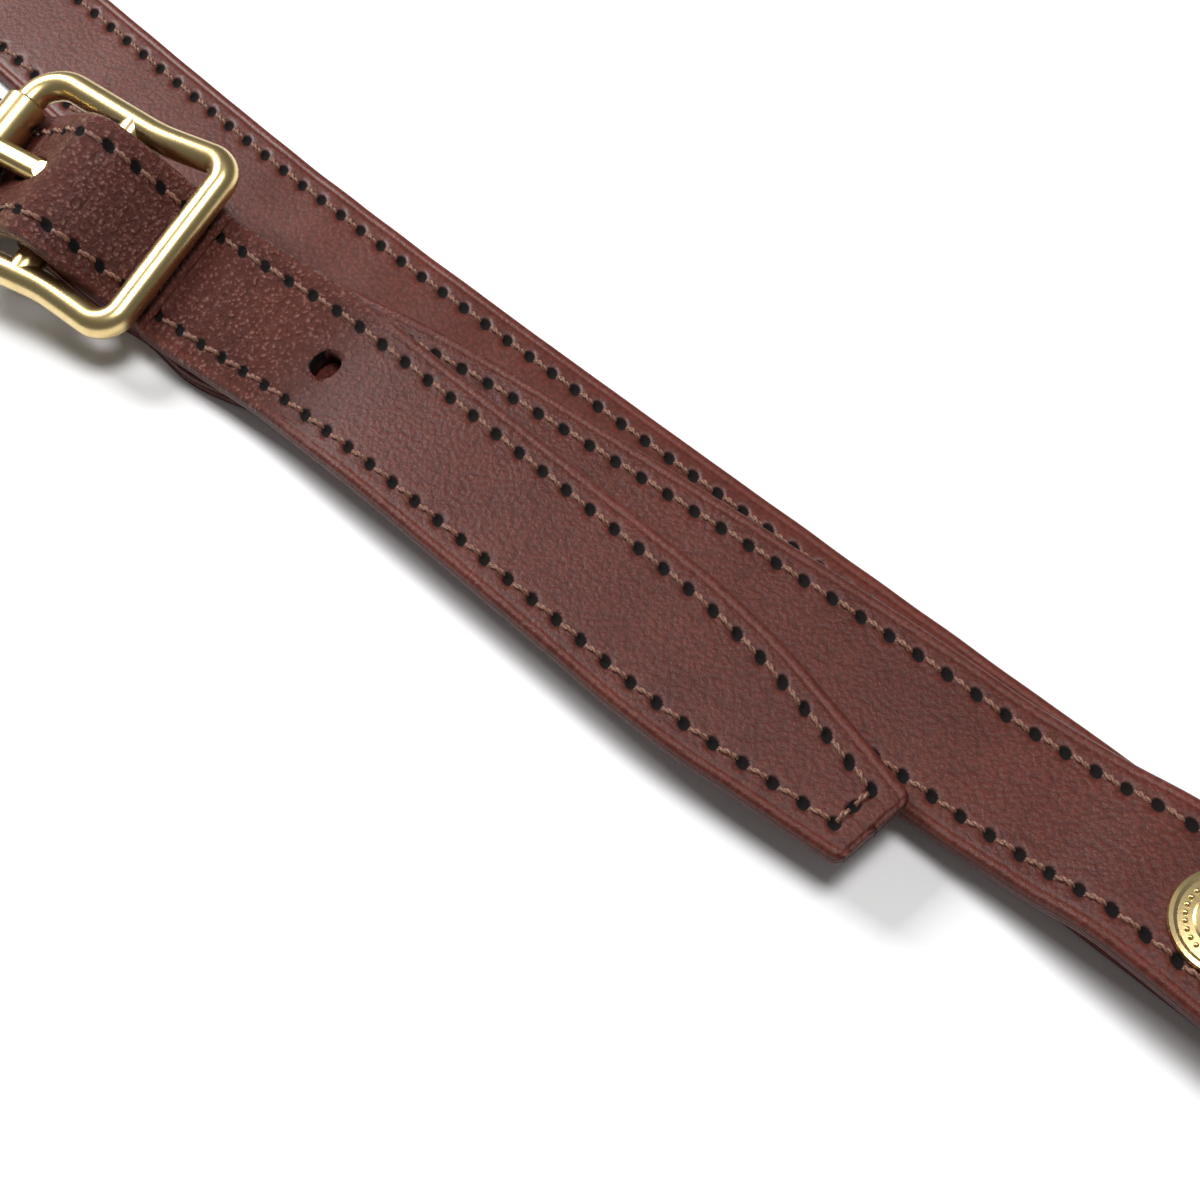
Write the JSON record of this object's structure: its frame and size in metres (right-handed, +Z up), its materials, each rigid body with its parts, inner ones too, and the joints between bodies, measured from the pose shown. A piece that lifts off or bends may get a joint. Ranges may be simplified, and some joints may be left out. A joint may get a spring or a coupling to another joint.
{
  "type": "suspenders",
  "caption": "Leather suspenders with a Y back, folded at the shoulders and laid flat, with brass roller buckles on the front straps and snap-closed belt loops.",
  "frame": {"origin": "middle of the laid-out footprint, on the table", "axes": "+X along the right buckle tab towards its belt loop, +Y towards the left front strap, +Z up off the table"},
  "size_m": [0.5928, 0.2174, 0.0187],
  "materials": {
    "leather_outer": "satin pebbled grain",
    "leather_lining": "smooth satin",
    "brass": "satin polish",
    "thread": "waxed twisted thread"
  },
  "bodies": {
    "back": {"back_strap_outer": "leather_outer", "back_strap_lining": "leather_lining", "yoke_under": "leather_lining", "yoke_top": "leather_outer", "right_shoulder_strap_outer": "leather_outer", "right_shoulder_strap_lining": "leather_lining", "left_shoulder_strap_outer": "leather_outer", "left_shoulder_strap_lining": "leather_lining", "back_snap_cap": "brass", "back_snap_socket": "brass"},
    "back_flap": {"back_flap_outer": "leather_outer", "back_flap_lining": "leather_lining", "back_snap_stud": "brass", "back_snap_post": "brass"},
    "right_front": {"right_front_strap_outer": "leather_outer", "right_front_strap_lining": "leather_lining", "right_tab_outer": "leather_outer", "right_tab_lining": "leather_lining", "right_buckle_frame": "brass", "right_snap_cap": "brass", "right_snap_socket": "brass", "right_flap_outer": "leather_outer", "right_flap_lining": "leather_lining", "right_snap_stud": "brass", "right_snap_post": "brass"},
    "right_tail": {"right_tail_outer": "leather_outer", "right_tail_lining": "leather_lining"},
    "right_prong": {"right_buckle_prong": "brass"},
    "right_roller": {"right_buckle_roller": "brass"},
    "left_front": {"left_front_strap_outer": "leather_outer", "left_front_strap_lining": "leather_lining", "left_tab_outer": "leather_outer", "left_tab_lining": "leather_lining", "left_buckle_frame": "brass", "left_snap_cap": "brass", "left_snap_socket": "brass"},
    "left_tail": {"left_tail_outer": "leather_outer", "left_tail_lining": "leather_lining"},
    "left_prong": {"left_buckle_prong": "brass"},
    "left_roller": {"left_buckle_roller": "brass"},
    "left_flap": {"left_flap_outer": "leather_outer", "left_flap_lining": "leather_lining", "left_snap_stud": "brass", "left_snap_post": "brass"}
  },
  "joints": [
    {"name": "back_flap_open", "type": "hinge", "parent": "back", "child": "back_flap", "pos_m": [0.2905, -0.09347, 0.0119], "axis": [0.0698, 0.9976, 0], "range_deg": [0, 75]},
    {"name": "right_shoulder_fold", "type": "hinge", "parent": "back", "child": "right_front", "pos_m": [-0.28642, -0.07419, 0.0186], "axis": [-0.1564, -0.9877, 0], "range_deg": [0, 60]},
    {"name": "right_tail_lift", "type": "hinge", "parent": "right_front", "child": "right_tail", "pos_m": [0.02148, -0.0898, 0.00748], "axis": [0.0858, -0.9811, -0.1736], "range_deg": [0, 35]},
    {"name": "right_prong_lift", "type": "hinge", "parent": "right_front", "child": "right_prong", "pos_m": [0.0035, -0.09127, 0.0107], "axis": [-0.1029, 0.9794, 0.1736], "range_deg": [0, 20]},
    {"name": "right_roller_spin", "type": "hinge", "parent": "right_front", "child": "right_roller", "pos_m": [-0.01171, -0.09272, 0.01154], "axis": [-0.1029, 0.9794, 0.1736], "continuous": true},
    {"name": "left_shoulder_fold", "type": "hinge", "parent": "back", "child": "left_front", "pos_m": [-0.28041, -0.00785, 0.0186], "axis": [0.2419, -0.9703, 0], "range_deg": [0, 60]},
    {"name": "left_tail_lift", "type": "hinge", "parent": "left_front", "child": "left_tail", "pos_m": [0.02024, 0.05248, 0.0056], "axis": [0.1219, -0.9925, 0], "range_deg": [0, 35]},
    {"name": "left_prong_lift", "type": "hinge", "parent": "left_front", "child": "left_prong", "pos_m": [0.00228, 0.0504, 0.0088], "axis": [-0.1045, 0.9945, 0], "range_deg": [0, 20]},
    {"name": "left_roller_spin", "type": "hinge", "parent": "left_front", "child": "left_roller", "pos_m": [-0.01289, 0.0485, 0.0096], "axis": [-0.1045, 0.9945, 0], "continuous": true},
    {"name": "left_flap_open", "type": "hinge", "parent": "left_front", "child": "left_flap", "pos_m": [0.21309, 0.09756, 0.0001], "axis": [0.309, -0.9511, 0], "range_deg": [0, 60]}
  ]
}
